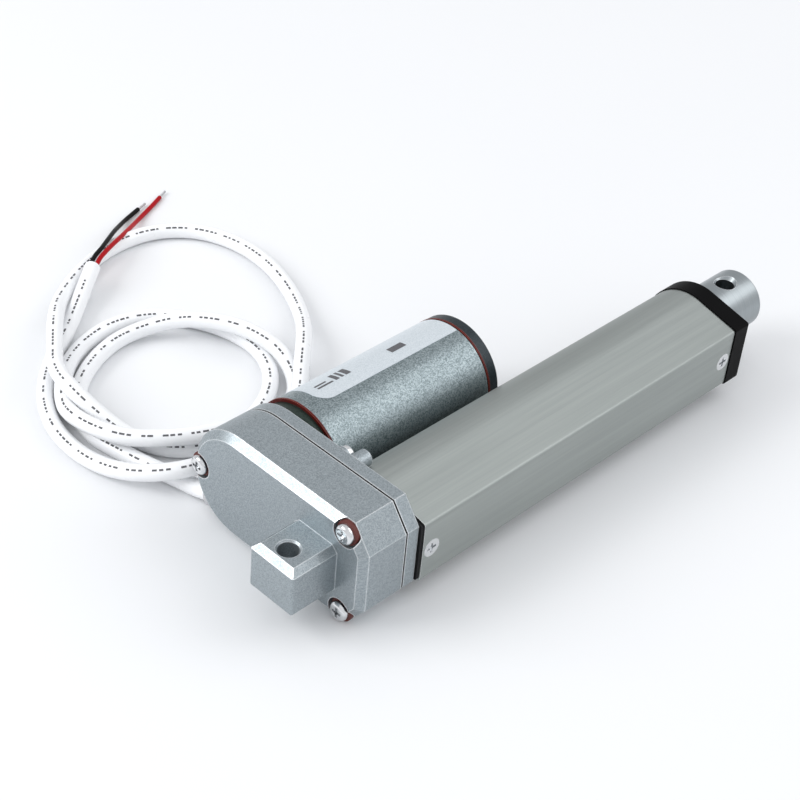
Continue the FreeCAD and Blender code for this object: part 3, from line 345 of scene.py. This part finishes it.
MATERIALS = {
    # the housing's near-white edge colour is a painted highlight along its sharp edges and bevels
    "housing_paint": metal_paint(
        "housing_paint", (0.22, 0.25, 0.265), (0.42, 0.47, 0.50), 0.22, 0.38, 0.75, 0.12,
        edge=(0.95, 0.97, 0.98)),
    "sleeve_paint": metal_paint(
        "sleeve_paint", (0.12, 0.155, 0.165), (0.38, 0.44, 0.46), 0.32, 0.34, 0.85, 0.35),
    # the end cap's lighter edge colour is a painted highlight along its rims
    "end_cap_paint": metal_paint(
        "end_cap_paint", (0.006, 0.012, 0.017), (0.024, 0.036, 0.043), 0.3, 0.36, 0.4, 0.10,
        edge=(0.10, 0.12, 0.13)),
    # the flange's near-black colour is painted shade: the neck lies in shadow under the motor's rim
    "flange_paint": metal_paint(
        "flange_paint", (0.010, 0.020, 0.016), (0.030, 0.050, 0.040), 0.3, 0.40, 0.5, 0.1),
    "black_rubber": moulded(
        "black_rubber", (0.005, 0.005, 0.005), (0.014, 0.014, 0.015), 0.6, gloss=0.2),
    # the red rubber's orange edge colour is a painted highlight on the gasket's rim
    "red_rubber": moulded(
        "red_rubber", (0.05, 0.004, 0.003), (0.11, 0.008, 0.006), 0.42,
        edge=(0.62, 0.14, 0.07), gloss=0.25),
    "red_fibre": moulded("red_fibre", (0.07, 0.011, 0.008), (0.14, 0.026, 0.018), 0.55),
    "zinc_screw": drawn_metal(
        "zinc_screw", (0.60, 0.61, 0.62), (0.90, 0.91, 0.92), 0.13, (1.0, 1.0, 1.0), 1500.0),
    # the tube's near-white edge colour is a painted highlight along its corners
    "tube_aluminium": drawn_metal(
        "tube_aluminium", (0.26, 0.285, 0.275), (0.43, 0.455, 0.445), 0.42, (0.02, 1.0, 1.0),
        edge=(0.92, 0.94, 0.94), along_x=0.85),
    "rod_aluminium": turned_metal(
        "rod_aluminium", (0.25, 0.28, 0.295), (0.39, 0.42, 0.435), 0.30, 0.35),
    "black_plastic": moulded(
        "black_plastic", (0.0015, 0.0015, 0.0015), (0.004, 0.004, 0.0045), 0.45, gloss=0.04),
    "acetal": moulded("acetal", (0.78, 0.78, 0.74), (0.88, 0.88, 0.85), 0.4),
    "gear_acetal": moulded("gear_acetal", (0.72, 0.72, 0.66), (0.84, 0.84, 0.79), 0.35),
    "label_film": metal_paint(
        "label_film", (0.56, 0.62, 0.66), (0.72, 0.77, 0.81), 0.25, 0.36, 0.40, 0.04),
    "board_laminate": moulded("board_laminate", (0.02, 0.12, 0.05), (0.04, 0.19, 0.08), 0.35),
    "steel": drawn_metal("steel", (0.42, 0.43, 0.44), (0.60, 0.61, 0.62), 0.28, (1.0, 1.0, 1.0)),
    "brass": drawn_metal("brass", (0.55, 0.40, 0.16), (0.74, 0.57, 0.27), 0.3, (1.0, 1.0, 1.0)),
    "ferrite": moulded("ferrite", (0.035, 0.035, 0.037), (0.07, 0.07, 0.073), 0.6),
    "carbon": moulded("carbon", (0.02, 0.02, 0.02), (0.05, 0.05, 0.05), 0.5),
    "copper": drawn_metal("copper", (0.50, 0.20, 0.08), (0.75, 0.36, 0.18), 0.3, (0.1, 1.0, 1.0)),
    "grommet_rubber": moulded("grommet_rubber", (0.42, 0.42, 0.44), (0.58, 0.58, 0.60), 0.5),
    "white_cable": moulded(
        "white_cable", (0.86, 0.87, 0.89), (0.92, 0.93, 0.94), 0.30, 700.0, 0.10, coat=0.25),
    "black_insulation": moulded(
        "black_insulation", (0.002, 0.002, 0.002), (0.006, 0.006, 0.006), 0.35, gloss=0.12),
    "red_insulation": moulded(
        "red_insulation", (0.30, 0.002, 0.005), (0.46, 0.004, 0.010), 0.35, gloss=0.12),
    "tinned_copper": drawn_metal(
        "tinned_copper", (0.55, 0.55, 0.56), (0.80, 0.80, 0.81), 0.3, (1.0, 1.0, 1.0)),
    "print_ink": moulded("print_ink", (0.05, 0.05, 0.055), (0.13, 0.13, 0.14), 0.6),
}


# ------------------------------------------------------------------ cable

def route_points(route):
    return [mm(x, y, CABLE_LAY_Z + height) for x, y, height in route]


def cable_curve(name, route, radius, slot_name):
    """A round cord on one smooth line whose control points are the route's points."""
    curve = bpy.data.curves.new(name, "CURVE")
    curve.dimensions = "3D"
    curve.bevel_depth = radius * MM
    curve.bevel_resolution = CABLE_ROUND_STEPS
    curve.resolution_u = CABLE_LINE_STEPS
    curve.use_fill_caps = True
    spline = curve.splines.new("NURBS")
    points = route_points(route)
    spline.points.add(len(points) - 1)
    for point, place in zip(spline.points, points):
        point.co = (*place, 1.0)
    spline.order_u = 3
    spline.use_endpoint_u = True
    piece = bpy.data.objects.new(name, curve)
    piece.data.materials.append(MATERIALS[slot_name])
    bpy.context.scene.collection.objects.link(piece)
    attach(piece, "housing")
    return piece


def centre_line(piece):
    """The points of a cord's smooth line, read from the same spline with no bevel."""
    bare = piece.data.copy()
    bare.bevel_depth = 0.0
    probe = bpy.data.objects.new("probe", bare)
    bpy.context.scene.collection.objects.link(probe)
    bpy.context.view_layer.update()
    mesh = bpy.data.meshes.new_from_object(probe)
    line = [vertex.co.copy() for vertex in mesh.vertices]
    bpy.data.objects.remove(probe)
    bpy.data.meshes.remove(mesh)
    return line


def line_length(line):
    return sum((b - a).length for a, b in zip(line, line[1:]))


def mesh_piece(name, mesh, slot_name):
    """A smooth-shaded piece; the print has no material slot of its own in the record."""
    for polygon in mesh.polygons:
        polygon.use_smooth = True
    piece = bpy.data.objects.new(name, mesh)
    mesh.materials.append(MATERIALS[slot_name])
    bpy.context.scene.collection.objects.link(piece)
    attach(piece, "housing")
    return piece


def tinned_end(name, route):
    """The bare end of a core: seven thin strands with a slight twist."""
    start = route_points(route)[-1]
    way = (start - route_points(route)[-2]).normalized()
    side = way.orthogonal().normalized()
    other = way.cross(side)
    strand_r = TIP_R / 3.0
    shape = bmesh.new()
    for strand in range(OUTER_STRANDS + 1):
        off = 0.0 if strand == OUTER_STRANDS else 2.0 * strand_r
        rings = []
        for step in range(STRAND_STEPS + 1):
            along = step / STRAND_STEPS
            turn = math.pi * 2 * strand / OUTER_STRANDS + along * TIP_TWIST
            place = start + way * (TIP_LENGTH * along * MM)
            place += (side * math.cos(turn) + other * math.sin(turn)) * off * MM
            ring = []
            for corner in range(STRAND_SIDES):
                angle = math.pi * 2 * corner / STRAND_SIDES
                out = (side * math.cos(angle) + other * math.sin(angle)) * strand_r * MM
                ring.append(shape.verts.new(place + out))
            rings.append(ring)
        for a, b in zip(rings, rings[1:]):
            for corner in range(STRAND_SIDES):
                after = (corner + 1) % STRAND_SIDES
                shape.faces.new((a[corner], a[after], b[after], b[corner]))
        shape.faces.new(list(reversed(rings[0])))
        shape.faces.new(rings[-1])
    bmesh.ops.recalc_face_normals(shape, faces=shape.faces)
    mesh = bpy.data.meshes.new(name)
    shape.to_mesh(mesh)
    shape.free()
    return mesh_piece(name, mesh, "tinned_copper")


def print_dashes(line):
    """Short dark dashes just above the jacket, along the side that faces PRINT_FACING."""
    pick = random.Random(PRINT_SEED)
    facing = Vector(PRINT_FACING).normalized()
    half_angle = 0.5 * PRINT_HEIGHT / CABLE_R
    out_to = (CABLE_R + PRINT_LIFT) * MM
    spans = []
    place = PRINT_START
    stop = line_length(line) * 1000.0 - PRINT_END_GAP
    while place < stop:
        for _ in range(pick.randint(*GROUP_DASHES)):
            length = pick.uniform(*DASH_LENGTHS)
            spans.append((place * MM, min(place + length, stop) * MM))
            place += length + pick.uniform(*DASH_GAPS)
        place += GROUP_GAP
    shape = bmesh.new()
    for start, end in spans:
        rows = []
        for along in (start, 0.5 * (start + end), end):
            centre, way = at_length(line, along)
            out = (facing - way * facing.dot(way)).normalized()
            side = way.cross(out)
            row = []
            for share in DASH_ACROSS:
                angle = share * half_angle
                row.append(shape.verts.new(
                    centre + (out * math.cos(angle) + side * math.sin(angle)) * out_to))
            rows.append(row)
        for low, high in zip(rows, rows[1:]):
            for k in range(len(DASH_ACROSS) - 1):
                shape.faces.new((low[k], low[k + 1], high[k + 1], high[k]))
    mesh = bpy.data.meshes.new("cable_print")
    shape.to_mesh(mesh)
    shape.free()
    return mesh_piece("cable_print", mesh, "print_ink")


def at_length(line, along):
    """The point and the direction at a given length along a line."""
    for a, b in zip(line, line[1:]):
        step = (b - a).length
        if along <= step:
            return a.lerp(b, along / step), (b - a).normalized()
        along -= step
    return line[-1], (line[-1] - line[-2]).normalized()


def label_bars():
    """Plain bars printed on the label."""
    shape = bmesh.new()
    out_to = LABEL_R + PRINT_LIFT
    for x0, x1, angle0, angle1 in LABEL_BARS:
        steps = max(2, round((angle1 - angle0) / BAR_STEP_DEG))
        rows = []
        for step in range(steps + 1):
            angle = math.radians(angle0 + (angle1 - angle0) * step / steps)
            y, z = MOTOR_Y + out_to * math.cos(angle), out_to * math.sin(angle)
            rows.append((shape.verts.new(mm(x0, y, z)), shape.verts.new(mm(x1, y, z))))
        for low, high in zip(rows, rows[1:]):
            shape.faces.new((low[0], low[1], high[1], high[0]))
    mesh = bpy.data.meshes.new("label_print")
    shape.to_mesh(mesh)
    shape.free()
    return mesh_piece("label_print", mesh, "print_ink")


def make_cables():
    jacket = cable_curve("cable_white", CABLE_ROUTE, CABLE_R, "white_cable")
    black = cable_curve("core_black", BLACK_ROUTE, WIRE_R, "black_insulation")
    red = cable_curve("core_red", RED_ROUTE, WIRE_R, "red_insulation")
    black_tip = tinned_end("tinned_end_black", BLACK_ROUTE)
    red_tip = tinned_end("tinned_end_red", RED_ROUTE)
    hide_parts("cable_jacket")
    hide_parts("black_core")
    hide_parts("red_core")
    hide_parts("core_tips")
    line = centre_line(jacket)
    print_dashes(line)
    for wire, tip in ((black, black_tip), (red, red_tip)):
        path = centre_line(wire)


# ------------------------------------------------------------------ CAD nodes

def paint_nodes():
    slots = {part["node"]: part["material_slot"] for part in frame["record"]["subparts"]}
    for name, piece in frame["nodes"].items():
        for holder in piece.material_slots:
            holder.material = MATERIALS[slots[name]]


# ------------------------------------------------------------------ floor and light

def make_floor():
    bpy.ops.mesh.primitive_plane_add(size=FLOOR_SIZE, location=mm(0, 0, FLOOR_Z))
    floor = bpy.context.object
    floor.name = "floor"
    material, tree, shader = new_material("floor")
    vector = coordinates(tree)
    tone = blend_colours(tree, noise(tree, vector, 3.0, 2.0), *FLOOR_TONES)
    tree.links.new(tone, shader.inputs["Base Color"])
    shader.inputs["Roughness"].default_value = 0.5
    floor.data.materials.append(material)


def area_light(name, place, side, power):
    """A square lamp, its side in metres, that points at LIGHT_TARGET."""
    data = bpy.data.lights.new(name, "AREA")
    data.shape = "RECTANGLE"
    data.size = data.size_y = side
    data.energy = power
    lamp = bpy.data.objects.new(name, data)
    lamp.location = place
    facing = Vector(LIGHT_TARGET) - Vector(place)
    lamp.rotation_euler = facing.to_track_quat("-Z", "Y").to_euler()
    bpy.context.scene.collection.objects.link(lamp)


def make_light():
    """A soft sky that is a little dimmer on the +Y side, and two lamps."""
    world = bpy.data.worlds.new("world")
    world.use_nodes = True
    tree = world.node_tree
    sky = tree.nodes["Background"]
    sky.inputs["Color"].default_value = SKY_COLOUR
    source = add(tree, "ShaderNodeTexCoord")
    parts = add(tree, "ShaderNodeSeparateXYZ")
    tree.links.new(source.outputs["Generated"], parts.inputs["Vector"])
    level = spread(tree, parts.outputs["Y"], *SKY_LEVELS)
    tree.links.new(level, sky.inputs["Strength"])
    bpy.context.scene.world = world
    for name, place, side, power in LIGHTS:
        area_light(name, place, side, power)


bpy.context.scene.view_settings.view_transform = "Standard"
make_camera()
make_cables()
label_bars()
paint_nodes()
make_floor()
make_light()
